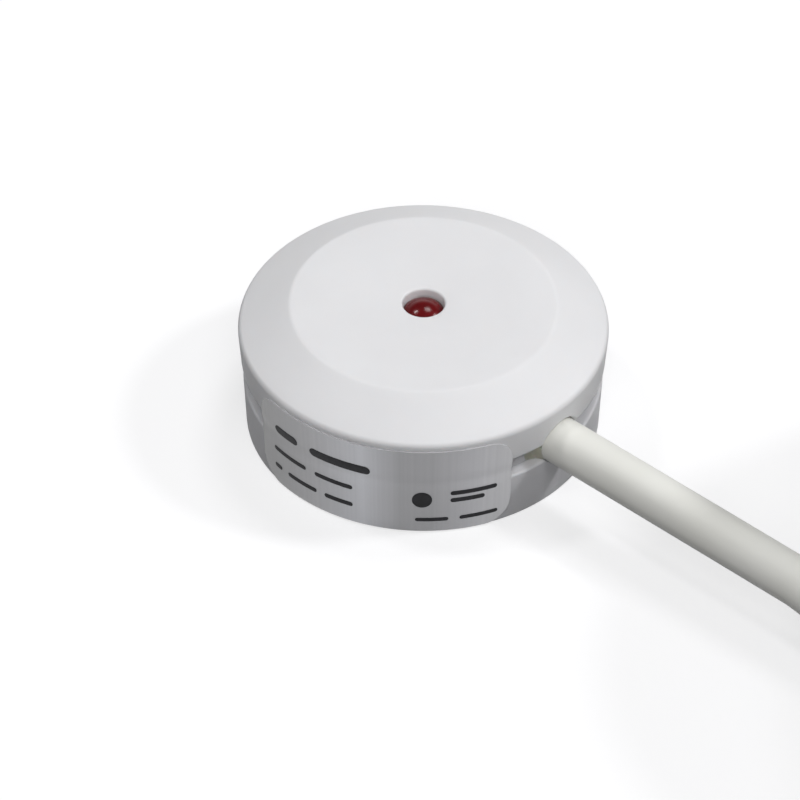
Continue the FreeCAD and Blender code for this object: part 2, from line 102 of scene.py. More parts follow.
def add_node(
    tree: NodeTree,
    kind: str,
    inputs: dict[Any, Any] | None = None,
    stops: Sequence[tuple[float, str]] = (),
    **settings: Any,
) -> Node:
    """Adds one node to a tree, with its settings, its colour stops and its links.

    Args:
        tree: The tree that gets the node.
        kind: Blender's name of the node type, after its ShaderNode.
        inputs: For each input, by name or number, the socket that feeds it or its own value.
        stops: Places and hex colours of a colour ramp.
        settings: Other properties of the node.

    Returns:
        The new node.
    """
    node = tree.nodes.new("ShaderNode" + kind)
    for name, value in settings.items():
        setattr(node, name, value)
    for index, (place, colour) in enumerate(stops):
        elements = node.color_ramp.elements
        stop = elements[index] if index < len(elements) else elements.new(place)
        stop.position = place
        stop.color = linear(colour)
    for name, value in (inputs or {}).items():
        if isinstance(value, NodeSocket):
            tree.links.new(value, node.inputs[name])
        else:
            node.inputs[name].default_value = value
    return node


def millimetres(tree: NodeTree, stretch: Sequence[float]) -> NodeSocket:
    """The socket of object coordinates in millimetres, so that a pattern's scale is one over its size."""
    place = add_node(tree, "TexCoord").outputs["Object"]
    return add_node(tree, "Mapping", {
        "Vector": place, "Scale": [way / MM for way in stretch],
    }).outputs["Vector"]


# The middle of a noise, over which it moves a colour or a gloss, and how many finer layers each noise has
COLOUR_SPAN = (0.3, 0.7)
GLOSS_SPAN = (0.25, 0.75)
CLOUD_DETAIL = 3.0
PATCH_DETAIL = 4.0
GRAIN_DETAIL = 2.0


@dataclass(frozen=True)
class Finish:
    """A surface finish: its colours, its roughness and the real size of its grain and its mottling."""

    name: str
    colour: str
    shade: str
    roughness: float
    spread: float = 0.04
    grain: float = 0.12
    depth: float = 0.002
    mottle: float = 4.0
    metal: float = 0.0
    stretch: tuple[float, float, float] = (1, 1, 1)
    sockets: tuple[tuple[str, Any], ...] = ()

    @cache
    def material(self) -> Material:
        """Builds the node tree of this finish, once: its colour, patches of gloss and its grain.

        Returns:
            The material, which all pieces of this finish share.
        """
        material = bpy.data.materials.new(self.name)
        material.use_nodes = True
        tree = material.node_tree
        tree.nodes.clear()
        where = millimetres(tree, self.stretch)
        patch, grain = (
            add_node(tree, "TexNoise", {"Vector": where, "Scale": fine, "Detail": detail}).outputs[0]
            for fine, detail in ((2 / self.mottle, PATCH_DETAIL), (1 / self.grain, GRAIN_DETAIL))
        )
        gloss = add_node(tree, "MapRange", {
            "Value": patch, "From Min": GLOSS_SPAN[0], "From Max": GLOSS_SPAN[1],
            "To Min": self.roughness - self.spread, "To Max": self.roughness + self.spread,
        })
        relief = add_node(tree, "Bump", {
            "Height": grain, "Strength": 1.0, "Distance": self.depth * MM,
        })
        shader = add_node(tree, "BsdfPrincipled", {
            "Base Color": self.paint(tree, where), "Roughness": gloss.outputs["Result"],
            "Normal": relief.outputs["Normal"], "Metallic": self.metal, **dict(self.sockets),
        })
        add_node(tree, "OutputMaterial", {"Surface": shader.outputs["BSDF"]})
        return material

    def paint(self, tree: NodeTree, where: NodeSocket) -> NodeSocket:
        """The socket of a colour that changes slowly over the surface."""
        inputs = {"Vector": where, "Scale": 1 / self.mottle, "Detail": CLOUD_DETAIL}
        return self.tint(tree, add_node(tree, "TexNoise", inputs).outputs[0])

    def tint(self, tree: NodeTree, share: NodeSocket) -> NodeSocket:
        """The socket of a colour that a noise moves from the finish's shade to its full colour."""
        stops = tuple(zip(COLOUR_SPAN, (self.shade, self.colour)))
        return add_node(tree, "ValToRGB", {"Fac": share}, stops).outputs["Color"]


DULL = (("Specular IOR Level", 0.25),)
# ABS moulded in a spark-eroded tool: even and satin, its grain drawn as coarse as it needs to show. Light
# sinks a little way into it, which keeps its slots and holes from going dark
ABS = {"grain": 0.16, "depth": 0.0012, "mottle": 7.0, "sockets": (
    ("Specular IOR Level", 0.22), ("Subsurface Weight", 0.4), ("Subsurface Radius", (1.0, 0.92, 0.88)),
    ("Subsurface Scale", 0.8 * MM),
)}
COVER_ABS = Finish("moulded_abs_cover", "E9E9EB", "E6E6E8", 0.5, **ABS)
# The base is the same white ABS as the cover, given a darker colour: painted shade for its lower wall
SHADED_BASE_ABS = Finish("moulded_abs_base_painted_shade", "D5D5D8", "D0D0D3", 0.52, **ABS)
# Extruded PVC: warm off-white, slightly soft looking, with a faint orange peel
SHEATH_PVC = Finish("extruded_pvc_sheath", "EBEBE6", "E6E6E0", 0.46, grain=0.5, depth=0.003, mottle=5.0,
                    sockets=DULL)
# Thermal transfer ink: near black, dull, a little thin in places
PRINT_INK = Finish("thermal_transfer_ink", "0E0E10", "1B1B20", 0.55, grain=0.05, depth=0.001, mottle=0.6,
                   sockets=DULL)
# Cast epoxy bead: half clear, greyish with a touch of yellow where it is thick
CAST_RESIN = Finish("cast_epoxy_resin", "E4E2D6", "D2CFBB", 0.3, grain=0.6, depth=0.003, mottle=1.4,
                    sockets=(("Transmission Weight", 0.45), ("IOR", 1.52), ("Subsurface Weight", 0.3),
                             ("Subsurface Scale", 0.5 * MM)))
# Tinned copper: bright, soft drawn, slightly dull where it was handled
TINNED_COPPER = Finish("tinned_copper", "CFCFCE", "B2B2B0", 0.3, grain=0.08, depth=0.001, mottle=0.7,
                       metal=1.0)
# Solder that set in the air: grey and bright by turns, a little wavy
SOLDER = Finish("tin_lead_solder", "C2C3C4", "A3A4A6", 0.34, grain=0.25, depth=0.004, mottle=0.5, metal=1.0)
# Silver plated lead frame inside the lamp: bright, slightly warm
LEAD_FRAME = Finish("silver_plated_lead_frame", "D8D2C8", "B4AEA4", 0.25, grain=0.06, depth=0.001,
                    mottle=0.5, metal=1.0)
# Sawn semiconductor crystal: dark brown-red with a glint
LAMP_DIE = Finish("gallium_arsenide_die", "5A2A22", "3E1B16", 0.3, grain=0.05, depth=0.001, mottle=0.1)
# Cast lamp epoxy: polished, deep red, see-through enough to show a hint of what it holds
LAMP_EPOXY = Finish("cast_red_epoxy", "710F13", "5F0C10", 0.19, spread=0.0, grain=0.4, depth=0.0002,
                    mottle=0.8, sockets=(("IOR", 1.54), ("Transmission Weight", 0.15), *DULL))
# Glass-fibre laminate under green solder mask: glossy, and slightly uneven from the weave below it
SOLDER_MASK = Finish("green_solder_mask", "1E5A2C", "164722", 0.3, grain=0.35, depth=0.006, mottle=1.5)
# Filled epoxy from a blasted mould: dull and finely pitted, black on the chips and yellow on the tantalum
MOULDING_COMPOUND = Finish("black_moulding_compound", "222224", "1A1A1C", 0.55, grain=0.06, depth=0.004)
TANTALUM_CASE = Finish("yellow_moulding_compound", "D3A32C", "C49324", 0.5, grain=0.06, depth=0.004)
# Fired glass glaze: black and shiny
RESISTOR_GLAZE = Finish("resistor_glaze", "1C1C22", "2A2A33", 0.25, grain=0.1, mottle=0.5)
# Sintered ceramic: tan, matt and even
CAPACITOR_CERAMIC = Finish("barium_titanate_ceramic", "A58764", "8F7352", 0.5, grain=0.08, depth=0.003,
                           mottle=0.6)
# Rolled brass sheet: yellow metal, streaked along the rolling direction
ROLLED_BRASS = Finish("rolled_brass", "C9A85C", "B5944A", 0.3, grain=0.1, depth=0.001, mottle=2.0,
                      stretch=(1, 12, 1), metal=1.0)
# Silver paste fired on ceramic: whitish, half metallic, slightly rough
SILVERED_CERAMIC = Finish("silvered_piezo_ceramic", "C9C9C5", "B5B5B0", 0.45, grain=0.07, mottle=1.0,
                          metal=0.7)
# Uncoloured nylon: milky and half clear
TIE_NYLON = Finish("natural_nylon", "E2E1D8", "D6D5CA", 0.4, grain=0.2, depth=0.003, mottle=1.5,
                   sockets=(("Transmission Weight", 0.15),))
# Extruded core insulation: plain coloured PVC, satin
INSULATION = {
    name: Finish(f"{name}_pvc", colour, shade, 0.4, mottle=1.5) for name, colour, shade in (
        ("white_core", "E6E6E2", "DADAD4"), ("brown_core", "5B3A22", "4E301B"),
        ("green_core", "2C7A3E", "256A35"), ("yellow_core", "DDBE3A", "CFAF2E"),
        ("black_wire", "1E1E1F", "262628"), ("red_wire", "A82420", "961D1A"),
    )
}


@dataclass(frozen=True)
class SatinFoil(Finish):
    """Silver polyester film: half metallic, with wide upright bands of painted reflection and painted shade
    and fine streaks, on the UV map.
    """

    # Places along the film and grey colours of its painted reflections and painted shade
    painted_light_bands: tuple[tuple[float, str], ...] = ()
    ends: tuple[float, float] = (0.0, 1.0)
    streak: float = 0.3
    streak_length: float = 50.0
    streak_share: float = 0.28

    def paint(self, tree: NodeTree, where: NodeSocket) -> NodeSocket:
        """Soft bands of painted reflection and painted shade along the film, with fine streaks over them,
        both upright once it is wrapped.

        Args:
            tree: The material's tree.
            where: Coordinates in millimetres, which the film leaves for those of its flat sheet.

        Returns:
            The socket that holds the colour.
        """
        flat = add_node(tree, "UVMap", uv_map="flat").outputs["UV"]
        along = add_node(tree, "SeparateXYZ", {0: flat})
        share = add_node(tree, "MapRange", {
            "Value": along.outputs["X"], "From Min": self.ends[0], "From Max": self.ends[1],
        })
        # Lighter and darker stretches along the film: painted reflection and painted shade
        painted_band = add_node(tree, "ValToRGB", {"Fac": share.outputs["Result"]}, self.painted_light_bands)
        scale = (1 / self.streak, 1 / self.streak_length, 1)
        upright = add_node(tree, "Mapping", {"Vector": flat, "Scale": scale})
        inputs = {"Vector": upright.outputs["Vector"], "Scale": 1.0, "Detail": CLOUD_DETAIL}
        streaks = self.tint(tree, add_node(tree, "TexNoise", inputs).outputs[0])
        return add_node(tree, "Mix", {
            0: self.streak_share, 6: painted_band.outputs["Color"], 7: streaks,
        }, data_type="RGBA", blend_type="MULTIPLY").outputs[2]


# Metallised polyester: satin silver in soft grey bands, which are painted reflections and painted shade,
# with streaks drawn coarse enough to show
LABEL_FILM = SatinFoil("satin_polyester_film", "FFFFFF", "DADADC", 0.36, grain=0.09, depth=0.0008,
                       mottle=3.0, metal=0.45, ends=(-25.5, -4.6),
                       painted_light_bands=((0.0, "999999"), (0.27, "B8B8BA"), (0.46, "CACBCF"), (0.6, "A8A8AA"),
                              (0.7, "A8A8AA"), (0.85, "BCBCBF"), (1.0, "CECED0")))
# Cut edge of the film: its clear core shows as a pale line
LABEL_CORE = Finish("polyester_film_core", "CFCFD2", "C4C4C8", 0.45, grain=0.05, depth=0.001, mottle=1.0)


def choose(*pieces: Object) -> None:
    """Selects pieces and nothing else, with the first of them active.

    Args:
        pieces: The objects that the next operator acts on.
    """
    bpy.ops.object.select_all(action="DESELECT")
    for piece in pieces:
        piece.select_set(True)
    bpy.context.view_layer.objects.active = pieces[0]


@contextmanager
def editing(piece: Object) -> Iterator[None]:
    """Opens a piece in edit mode with all of it selected, and closes it again.

    Args:
        piece: The mesh object that the operators act on.

    Yields:
        Nothing; the piece is the active object and in edit mode.
    """
    choose(piece)
    bpy.ops.object.mode_set(mode="EDIT")
    bpy.ops.mesh.select_all(action="SELECT")
    yield
    bpy.ops.object.mode_set(mode="OBJECT")


def outward(piece: Object) -> Object:
    """Turns all faces of a piece outward.

    Args:
        piece: The mesh object.

    Returns:
        The same piece.
    """
    with editing(piece):
        bpy.ops.mesh.normals_make_consistent(inside=False)
    return piece


def spin(angle: float, axis: str) -> Matrix:
    """The matrix of a turn about X, Y or Z."""
    return Matrix.Rotation(math.radians(angle), 4, axis)


def added(name: str) -> Object:
    """Names the primitive that was just added and puts its place into its mesh.

    Args:
        name: The piece's name.

    Returns:
        The new piece.
    """
    piece = bpy.context.object
    piece.name = name
    bpy.ops.object.transform_apply(location=True, rotation=True, scale=True)
    return piece


def box(name: str, middle: Sequence[float], size: Sequence[float]) -> Object:
    """A box by its middle and its size along X, Y and Z."""
    bpy.ops.mesh.primitive_cube_add(size=1, location=middle, scale=size)
    return added(name)


def apply_modifier(piece: Object, kind: str, **settings: Any) -> None:
    """Adds a modifier to a piece and applies it.

    Args:
        piece: The mesh object.
        kind: Blender's name of the modifier type.
        settings: The modifier's properties.
    """
    choose(piece)
    bpy.ops.object.modifier_add(type=kind)
    modifier = piece.modifiers[-1]
    for name, value in settings.items():
        setattr(modifier, name, value)
    bpy.ops.object.modifier_apply(modifier=modifier.name)


def combine(piece: Object, tool: Object, how: Cut) -> None:
    """Lets a closed tool body act on a piece, and throws the tool away."""
    apply_modifier(piece, "BOOLEAN", operation=how.value, solver="EXACT", object=tool)
    bpy.data.objects.remove(tool)


def rounded(corners: Sequence[Corner]) -> list[Vector]:
    """Points of a closed outline whose corners are rounded.

    Args:
        corners: The outline's corners in order.

    Returns:
        Points in the plane of X and Z.
    """
    points = []
    places = [Vector((corner.across, 0, corner.up)) for corner in corners]
    neighbours = zip(places[-1:] + places, places[1:] + places[:1])
    for corner, here, (last, following) in zip(corners, places, neighbours):
        if not corner.radius:
            points.append(here)
            continue
        back = (last - here).normalized()
        onward = (following - here).normalized()
        half = back.angle(onward) / 2
        centre = here + (back + onward).normalized() * (corner.radius / math.sin(half))
        first = here + back * (corner.radius / math.tan(half)) - centre
        final = here + onward * (corner.radius / math.tan(half)) - centre
        sweep = first.angle(final)
        for step in range(ROUND_STEPS + 1):
            share = step / ROUND_STEPS
            spoke = first * math.sin((1 - share) * sweep) + final * math.sin(share * sweep)
            points.append(centre + spoke / math.sin(sweep))
    return points


def arc(centre: Vector, radius: float, start: float, end: float, steps: int) -> list[Vector]:
    """Points along part of a circle in the plane of X and Z, at even angles from X towards Z."""
    angles = (math.radians(start + (end - start) * step / steps) for step in range(steps + 1))
    return [centre + Vector((math.cos(angle), 0, math.sin(angle))) * radius for angle in angles]


def traced(name: str, outline: Sequence[Vector]) -> Object:
    """Draws a closed outline point by point, and fills it with one face.

    Args:
        name: The piece's name.
        outline: Points in the plane of X and Z.

    Returns:
        The piece, a single face.
    """
    bpy.ops.mesh.primitive_plane_add(size=1, location=outline[0])
    piece = added(name)
    with editing(piece):
        bpy.ops.mesh.merge(type="CENTER")
        for here, there in zip(outline, outline[1:]):
            bpy.ops.mesh.extrude_vertices_move(TRANSFORM_OT_translate={"value": there - here})
        bpy.ops.mesh.select_all(action="SELECT")
        bpy.ops.mesh.edge_face_add()
    return piece


def turned(name: str, outline: Sequence[Vector], steps: int, span: float = 360.0) -> Object:
    """Spins an outline about Z into a closed body.

    Args:
        name: The piece's name.
        outline: Points with the radius along X and the height along Z.
        steps: How many faces go round it.
        span: The angle that it turns through, from the X axis towards Y.

    Returns:
        The piece.
    """
    piece = traced(name, outline)
    with editing(piece):
        if span == 360.0:
            bpy.ops.mesh.delete(type="ONLY_FACE")
            bpy.ops.mesh.select_all(action="SELECT")
        bpy.ops.mesh.spin(steps=steps, angle=math.radians(span), center=(0, 0, 0), axis=(0, 0, 1))
        bpy.ops.mesh.select_all(action="SELECT")
        bpy.ops.mesh.remove_doubles(threshold=MERGE)
    return outward(piece)


def placed(piece: Object, turn: Matrix) -> Object:
    """Turns and moves a piece, with the change kept in its mesh.

    Args:
        piece: The mesh object, at the origin.
        turn: The matrix that places it.

    Returns:
        The same piece.
    """
    choose(piece)
    piece.matrix_world = turn
    bpy.ops.object.transform_apply(location=True, rotation=True, scale=True)
    return piece


def joined(name: str, parts: Sequence[Object]) -> Object:
    """Makes one object of several.

    Args:
        name: The new object's name.
        parts: The mesh objects.

    Returns:
        The first of them, which now holds them all.
    """
    choose(*parts)
    bpy.ops.object.join()
    parts[0].name = name
    return parts[0]


def finished(piece: Object, finish: Finish, slot: str, *replaces: str) -> None:
    """Scales a piece to metres, shades and dresses it, and ties it to the frame.

    Args:
        piece: The mesh object, in millimetres.
        finish: Its surface finish.
        slot: The record's material slot, which is not used.
        replaces: The CAD nodes that it stands for.
    """
    placed(piece, Matrix.Scale(MM, 4))
    bpy.ops.object.shade_smooth_by_angle(angle=math.radians(CREASE))
    piece.data.materials.clear()
    piece.data.materials.append(finish.material())
    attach(piece, "root")
    if replaces:
        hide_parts(*replaces)
    LOG.info("%s: %d faces", piece.name, len(piece.data.polygons))


@dataclass(frozen=True)
class Form:
    """Sizes of the housing that more than one sub-assembly works from, and the bodies that they share."""

    rim: float = 13.5
    crown: float = 9.72
    ledge: float = 4.05
    lip: float = 5.7
    spigot_top: float = 7.6
    shoulder: float = 8.6
    top: float = 10.5
    skirt_draft: float = 4.3
    base_draft: float = 2.5
    base_step: float = 0.12
    skirt_wall: float = 0.88
    spigot_gap: float = 0.1
    spigot_wall: float = 1.1
    lead_height: float = 5.15
    lead_radius: float = 1.75
    lead_gap: float = 0.08
    sheath_end: float = 8.3
    snap_angles: tuple[float, ...] = (90.0, 180.0, 270.0)
    snap_span: float = 16.0
    snap_reach: float = 0.35
    snap_height: float = 0.6
    snap_drop: float = 1.45
    snap_room: float = 0.1
    steps: int = 192

    @property
    def lip_radius(self) -> float:
        """Radius of the skirt's lower edge."""
        return self.rim - (self.shoulder - self.lip) * math.tan(math.radians(self.skirt_draft))

    @property
    def wall_radius(self) -> float:
        """Radius of the base's wall at the ledge."""
        return self.lip_radius - self.base_step

    @property
    def foot_radius(self) -> float:
        """Radius of the base's wall at the bottom."""
        return self.wall_radius - self.ledge * math.tan(math.radians(self.base_draft))

    @property
    def bore(self) -> float:
        """Radius inside the skirt."""
        return self.lip_radius - self.skirt_wall

    @property
    def spigot_radius(self) -> float:
        """Outer radius of the base's spigot."""
        return self.bore - self.spigot_gap

    def side(self, height: float) -> float:
        """Radius of the housing's side at a height, straight across the groove.

        Args:
            height: Height above the underside.

        Returns:
            The radius.
        """
        levels = ((0.0, self.foot_radius), (self.ledge, self.wall_radius), (self.lip, self.lip_radius),
                  (self.shoulder, self.rim))
        for (low, inner), (high, outer) in zip(levels, levels[1:]):
            if height <= high:
                return inner + (outer - inner) * (height - low) / (high - low)
        return self.rim

    def trough(self) -> Object:
        """The tool body of the lead's trough in the base, open upward.

        Returns:
            The tool body.
        """
        reach = self.lead_radius + self.lead_gap
        far = self.lead_height + 3 * self.lead_radius
        outline = [Vector((reach, 0, far)), Vector((-reach, 0, far))]
        outline += arc(Vector((0, 0, self.lead_height)), reach, 180.0, 360.0, PASSAGE_STEPS)
        tool = traced("trough", outline)
        with editing(tool):
            bpy.ops.mesh.extrude_region_move(TRANSFORM_OT_translate={"value": (0, self.rim, 0)})
        return placed(outward(tool), Matrix.Translation((self.sheath_end, 0, 0)) @ spin(-90.0, "Z"))

    def snap(self, angle: float, grow: float = 0.0) -> Object:
        """One snap of the cover, or with grow the tool body of its window in the spigot.

        Args:
            angle: Where round the housing its middle is.
            grow: How much larger it is made all round.

        Returns:
            The body.
        """
        span = self.snap_span + math.degrees(2 * grow / self.bore)
        tip = self.bore - self.snap_reach - grow
        root = self.bore + self.skirt_wall / 2
        low = self.spigot_top - self.snap_drop
        high = low + self.snap_height + grow
        low -= grow
        wedge = turned("snap", rounded((
            Corner(root, low), Corner(self.bore - grow, low), Corner(tip, high - self.snap_height / 3),
            Corner(tip, high), Corner(root, high),
        )), SNAP_STEPS, span)
        return placed(wedge, spin(angle - span / 2, "Z"))


@dataclass
class Cover:
    """The upper moulding: a disc with a coned edge, a drafted skirt, a lamp hole and the lead's arch."""

    form: Form
    rim_round: float = 0.5
    crown_round: float = 0.8
    lip_round: float = 0.18
    skirt_round: float = 0.25
    hole: float = 1.53
    roof: float = 1.1
    crown_wall: float = 1.1
    seat: float = 0.9
    collar_wall: float = 0.75
    collar_foot: float = 6.59

    def corners(self) -> list[Corner]:
        """The outline of the moulding's section.

        Returns:
            Its corners in order, from the lamp hole's upper edge outward.
        """
        form = self.form
        slope = (form.top - form.shoulder) / (form.rim - form.crown)
        seat_radius = form.bore - self.seat
        under = form.shoulder + (form.rim - seat_radius) * slope - self.crown_wall * math.hypot(1, slope)
        ceiling = form.top - self.roof
        meet = seat_radius - (ceiling - under) / slope
        collar = self.hole + self.collar_wall
        return [
            Corner(self.hole, form.top, self.lip_round), Corner(form.crown, form.top, self.crown_round),
            Corner(form.rim, form.shoulder, self.rim_round),
            Corner(form.lip_radius, form.lip, self.skirt_round), Corner(form.bore, form.lip),
            Corner(form.bore, form.spigot_top), Corner(seat_radius, form.spigot_top),
            Corner(seat_radius, under), Corner(meet, ceiling), Corner(collar, ceiling),
            Corner(collar, self.collar_foot), Corner(self.hole, self.collar_foot),
        ]

    def arch(self) -> Object:
        """The tool body of the lead's arch: a round bar that flares where it meets the skirt's outside.

        Returns:
            The tool body.
        """
        form = self.form
        reach = form.lead_radius + form.lead_gap
        wide = reach + self.skirt_round
        inner = form.sheath_end - form.rim
        flare = arc(Vector((wide, 0, -self.skirt_round)), self.skirt_round, 180.0, 90.0, ROUND_STEPS)
        outline = [Vector((0, 0, inner)), Vector((reach, 0, inner)), *flare,
                   Vector((wide, 0, self.skirt_round)), Vector((0, 0, self.skirt_round))]
        bar = turned("arch", outline, 2 * PASSAGE_STEPS)
        placed(bar, Matrix.Translation((0, 0, form.lead_height)) @ spin(90.0, "Y"))
        for vertex in bar.data.vertices:
            vertex.co.x += math.sqrt(form.side(vertex.co.z) ** 2 - vertex.co.y ** 2)
        return bar

    def build(self) -> None:
        """Turns the moulding, adds its snaps and cuts the lead's arch."""
        shell = turned("cover_shell", rounded(self.corners()), self.form.steps)
        for angle in self.form.snap_angles:
            combine(shell, self.form.snap(angle), Cut.ADD)
        combine(shell, self.arch(), Cut.AWAY)
        finished(shell, COVER_ABS, "cover_plastic", "top_cover")


@dataclass
class Base:
    """The lower moulding: a tray with a ledge, a spigot, posts for the board and a saddle for the lead.

    The saddle is a wall across the well, by its start along X, its thickness, width and height.
    """

    form: Form
    lip_round: float = 0.18
    foot_chamfer: float = 0.08
    floor: float = 1.2
    nest: float = 7.6
    nest_wall: float = 0.5
    nest_height: float = 0.7
    post_circle: float = 9.35
    post: float = 1.1
    pin: float = 0.5
    stake: float = 0.85
    stake_height: float = 0.4
    board: tuple[float, float] = (4.14, 5.14)
    post_angles: tuple[float, ...] = (60.0, 180.0, 300.0)
    saddle: tuple[float, float, float, float] = (8.6, 0.6, 5.2, 4.85)

    def corners(self) -> list[Corner]:
        """The outline of the tray's section, with the ring that holds the pick-up.

        Returns:
            Its corners in order, from the underside's middle outward.
        """
        form = self.form
        well = form.spigot_radius - form.spigot_wall
        slant = self.foot_chamfer * math.tan(math.radians(form.base_draft))
        nest_wall = self.nest + self.nest_wall
        nest_top = self.floor + self.nest_height
        return [
            Corner(0, 0), Corner(form.foot_radius - self.foot_chamfer, 0),
            Corner(form.foot_radius + slant, self.foot_chamfer),
            Corner(form.wall_radius, form.ledge, self.lip_round), Corner(form.spigot_radius, form.ledge),
            Corner(form.spigot_radius, form.spigot_top, self.lip_round), Corner(well, form.spigot_top),
            Corner(well, self.floor), Corner(nest_wall, self.floor), Corner(nest_wall, nest_top),
            Corner(self.nest, nest_top), Corner(self.nest, self.floor), Corner(0, self.floor),
        ]

    def staked_post(self, angle: float) -> Object:
        """A post with its pin, and the pin's head that was melted over the board.

        Args:
            angle: Where round the tray it stands.

        Returns:
            The post's body.
        """
        low, high = self.board
        sunk = self.floor / 2
        post = turned("post", rounded((
            Corner(0, sunk), Corner(self.post, sunk), Corner(self.post, low), Corner(self.pin, low),
            Corner(self.pin, high), Corner(self.stake, high), Corner(self.pin, high + self.stake_height),
            Corner(0, high + self.stake_height),
        )), POST_STEPS)
        return placed(post, spin(angle, "Z") @ Matrix.Translation((self.post_circle, 0, 0)))

    def build(self) -> None:
        """Turns the tray, adds posts and saddle, and cuts the snaps' windows and the lead's trough."""
        form = self.form
        start, thick, wide, high = self.saddle
        low = self.floor / 2
        saddle = box("saddle", (start + thick / 2, 0, (low + high) / 2), (thick, wide, high - low))
        tray = turned("base_shell", rounded(self.corners()), form.steps)
        for angle in self.post_angles:
            combine(tray, self.staked_post(angle), Cut.ADD)
        combine(tray, saddle, Cut.ADD)
        for angle in form.snap_angles:
            combine(tray, form.snap(angle, form.snap_room), Cut.AWAY)
        combine(tray, form.trough(), Cut.AWAY)
        # The tray's darker finish is painted shade
        finished(tray, SHADED_BASE_ABS, "base_plastic", "base_tray")


class Mark(NamedTuple):
    """A plain printed bar: its left end and right end round the housing, and its lower and upper height."""

    start: float
    end: float
    low: float
    high: float


@dataclass
class SideLabel:
    """Foil wrapped round the side, with rounded corners and plain bars where a label has its print."""

    form: Form
    start: float = -108.4
    end: float = -19.6
    bottom: float = 0.12
    top: float = 8.1
    corner: float = 2.0
    thick: float = 0.09
    gap: float = 0.01
    dip: float = 0.07
    column: float = 1.5
    row: float = 0.25
    edge_limit: float = 0.5
    ink_lift: float = 0.006
    ink_thick: float = 0.008
    bar_round: float = 0.49
    marks: tuple[Mark, ...] = (
        Mark(-100.6, -90.5, 5.2, 6.0), Mark(-85.5, -64.5, 5.2, 6.0), Mark(-101.8, -87.5, 3.3, 3.7),
        Mark(-84.0, -70.5, 3.3, 3.7), Mark(-102.0, -98.5, 1.6, 2.0), Mark(-95.5, -83.5, 1.6, 2.0),
        Mark(-80.5, -70.5, 1.6, 2.0),
        Mark(-51.5, -45.2, 2.5, 4.0), Mark(-39.5, -24.5, 3.6, 4.0), Mark(-39.5, -28.5, 2.9, 3.3),
        Mark(-50.5, -40.0, 1.1, 1.45), Mark(-36.5, -24.0, 1.1, 1.45),
    )

    def depth(self, height: float) -> float:
        """How far the foil sinks at a height: it sags where it bridges the groove."""
        share = (height - self.form.ledge) / (self.form.lip - self.form.ledge)
        return self.dip * math.sin(math.pi * min(max(share, 0.0), 1.0)) ** 2

    def flat_sheet(self, name: str, area: Mark, corner: float) -> Object:
        """A flat sheet with rounded corners, cut into narrow columns and rows.

        Args:
            name: The sheet's name.
            area: Its ends as angles, and its heights.
            corner: The radius of its corners.

        Returns:
            The sheet, with arc length along X and height along Z.
        """
        angles = (area.start, area.end, self.column)
        start, end, column = (math.radians(angle) * self.form.rim for angle in angles)
        middle = Vector(((start + end) / 2, 0, (area.high + area.low) / 2))
        bpy.ops.mesh.primitive_plane_add(size=1, location=middle, rotation=(math.pi / 2, 0, 0))
        sheet = added(name)
        ways = ((Vector((1, 0, 0)), start, end, column), (Vector((0, 0, 1)), area.low, area.high, self.row))
        with editing(sheet):
            bpy.ops.transform.resize(value=(end - start, 1, area.high - area.low), center_override=middle)
            bpy.ops.mesh.bevel(offset=corner, segments=CORNER_STEPS, affect="VERTICES")
            for way, low, high, step in ways:
                for count in range(1, math.ceil((high - low) / step)):
                    bpy.ops.mesh.select_all(action="SELECT")
                    bpy.ops.mesh.bisect(plane_co=way * (low + step * count), plane_no=way)
        return sheet

    def wrapped(self, sheet: Object, lift: float, thick: float) -> Object:
        """Lays a flat sheet round the housing's side and gives it its thickness.

        Args:
            sheet: A sheet with arc length along X and height along Z.
            lift: Clearance between the housing and the sheet.
            thick: The sheet's thickness.

        Returns:
            The same sheet, with its flat size as its UV map.
        """
        flat = sheet.data.uv_layers.new(name="flat")
        for loop in sheet.data.loops:
            place = sheet.data.vertices[loop.vertex_index].co
            flat.data[loop.index].uv = (place.x, place.z)
        for vertex in sheet.data.vertices:
            turn = vertex.co.x / self.form.rim
            radius = self.form.side(vertex.co.z) + lift - self.depth(vertex.co.z)
            vertex.co.xy = radius * math.cos(turn), radius * math.sin(turn)
        first = outward(sheet).data.polygons[0]
        offset = 1 if first.normal.dot(first.center.xy.to_3d()) > 0 else -1
        apply_modifier(sheet, "SOLIDIFY", thickness=thick, offset=offset, use_even_offset=True)
        return outward(sheet)

    def build(self) -> None:
        """Cuts and wraps the foil, and prints the plain bars on it."""
        area = Mark(self.start, self.end, self.bottom, self.top)
        foil = self.wrapped(self.flat_sheet("label_sheet", area, self.corner), self.gap, self.thick)
        bars = []
        for mark in self.marks:
            bar = self.flat_sheet("print_bar", mark, (mark.high - mark.low) * self.bar_round)
            bars.append(self.wrapped(bar, self.gap + self.thick + self.ink_lift, self.ink_thick))
        finished(joined("label_print", bars), PRINT_INK, "label_foil")
        finished(foil, LABEL_FILM, "label_foil", "side_label")
        foil.data.materials.append(LABEL_CORE.material())
        for face in foil.data.polygons:
            if abs(face.normal.xy.dot(face.center.xy.normalized())) < self.edge_limit:
                face.material_index = 1


